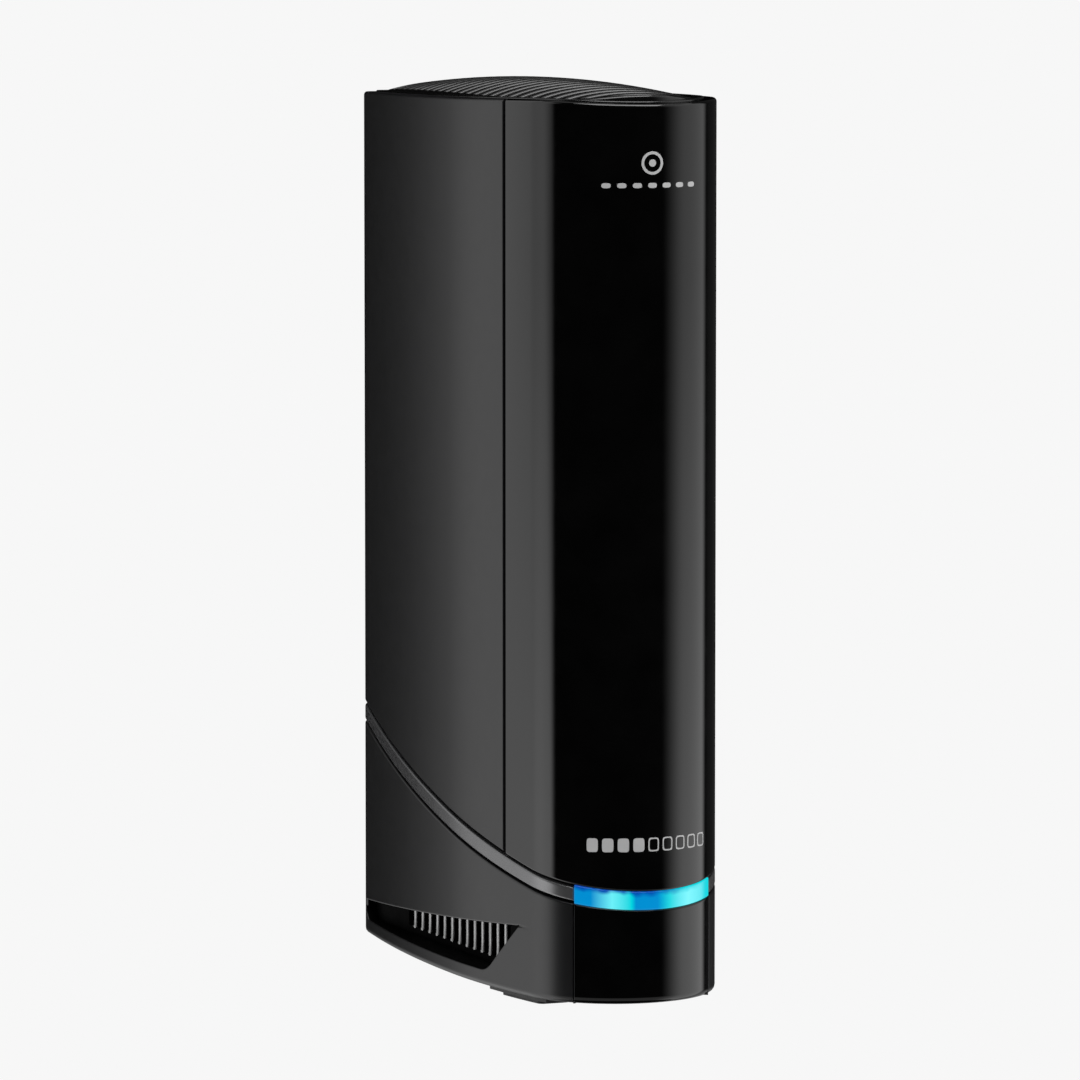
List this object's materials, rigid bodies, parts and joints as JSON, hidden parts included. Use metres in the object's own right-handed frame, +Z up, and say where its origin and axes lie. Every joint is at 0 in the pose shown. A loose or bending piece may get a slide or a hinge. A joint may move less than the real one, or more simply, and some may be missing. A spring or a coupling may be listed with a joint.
{
  "type": "cable modem",
  "caption": "Upright cable modem with a half-round gloss front, matte bowed sides, curved trim with a light bar, side vents and a domed louvered top.",
  "frame": {"origin": "on the ground, at the middle of the bounding box", "axes": "+Z up, the rounded nose faces -Y, the connectors face +Y, +X is to the right of a viewer who looks at the nose"},
  "size_m": [0.0512, 0.128, 0.2004],
  "materials": {
    "matte_shell": "fine spark-eroded matte, charcoal",
    "gloss_panel": "piano-black high gloss",
    "satin_trim": "satin charcoal",
    "light_window": "translucent light window, lit cyan",
    "clear_plastic": "frosted clear",
    "vent_plastic": "satin black",
    "grille_plastic": "satin black",
    "panel_plastic": "fine texture black",
    "base_plastic": "textured black",
    "foot_rubber": "soft matte rubber",
    "label_film": "blank silver film",
    "screw_steel": "zinc plated",
    "frame_plastic": "moulded black",
    "circuit_board": "green solder mask",
    "led_package": "white package, lit cyan",
    "connector_plastic": "moulded black nylon",
    "cable_film": "white flat cable",
    "chip_epoxy": "moulded epoxy",
    "thermal_rubber": "soft grey-blue pad",
    "sink_aluminium": "plain extruded",
    "can_aluminium": "drawn can",
    "tin_plate": "tin plated sheet",
    "nickel_brass": "nickel plated",
    "white_insulator": "white moulded",
    "gold_contact": "gold flashed",
    "button_plastic": "moulded red"
  },
  "bodies": {
    "housing": {"left_side_cover": "matte_shell", "right_side_cover": "matte_shell", "base_skirt": "matte_shell", "front_panel": "gloss_panel", "lower_front_panel": "gloss_panel", "left_curved_trim": "satin_trim", "right_curved_trim": "satin_trim", "light_bar": "light_window", "light_guide": "clear_plastic", "jack_light_pipes": "clear_plastic", "left_side_vent": "vent_plastic", "right_side_vent": "vent_plastic", "top_ring": "grille_plastic", "top_grille": "grille_plastic", "rear_panel": "panel_plastic", "bottom_plate": "base_plastic", "rubber_feet": "foot_rubber", "rating_label": "label_film", "case_screws": "screw_steel", "board_screws": "screw_steel", "heat_sink_screws": "screw_steel", "inner_frame": "frame_plastic", "main_board": "circuit_board", "led_board": "circuit_board", "status_leds": "led_package", "flat_cable_sockets": "connector_plastic", "upper_ethernet_jack": "connector_plastic", "lower_ethernet_jack": "connector_plastic", "power_jack": "connector_plastic", "led_flat_cable": "cable_film", "modem_processor": "chip_epoxy", "memory_chips": "chip_epoxy", "flash_chip": "chip_epoxy", "tuner_chip": "chip_epoxy", "power_inductors": "chip_epoxy", "reset_switch": "chip_epoxy", "thermal_pad": "thermal_rubber", "heat_sink": "sink_aluminium", "heat_sink_spacers": "sink_aluminium", "power_capacitors": "can_aluminium", "clock_crystal": "can_aluminium", "tuner_shield": "tin_plate", "upper_ethernet_shield": "tin_plate", "lower_ethernet_shield": "tin_plate", "coax_connector": "nickel_brass", "coax_washer": "nickel_brass", "coax_nut": "nickel_brass", "coax_insulator": "white_insulator", "coax_contact": "gold_contact", "ethernet_contacts": "gold_contact", "power_jack_pin": "gold_contact"},
    "reset_key": {"reset_button": "button_plastic"}
  },
  "joints": [
    {"name": "reset_press", "type": "slide", "parent": "housing", "child": "reset_key", "axis": [0, -1, 0], "range_m": [0, 0.0006], "stiffness_N_per_m": 600, "springref_m": -0.0005}
  ]
}
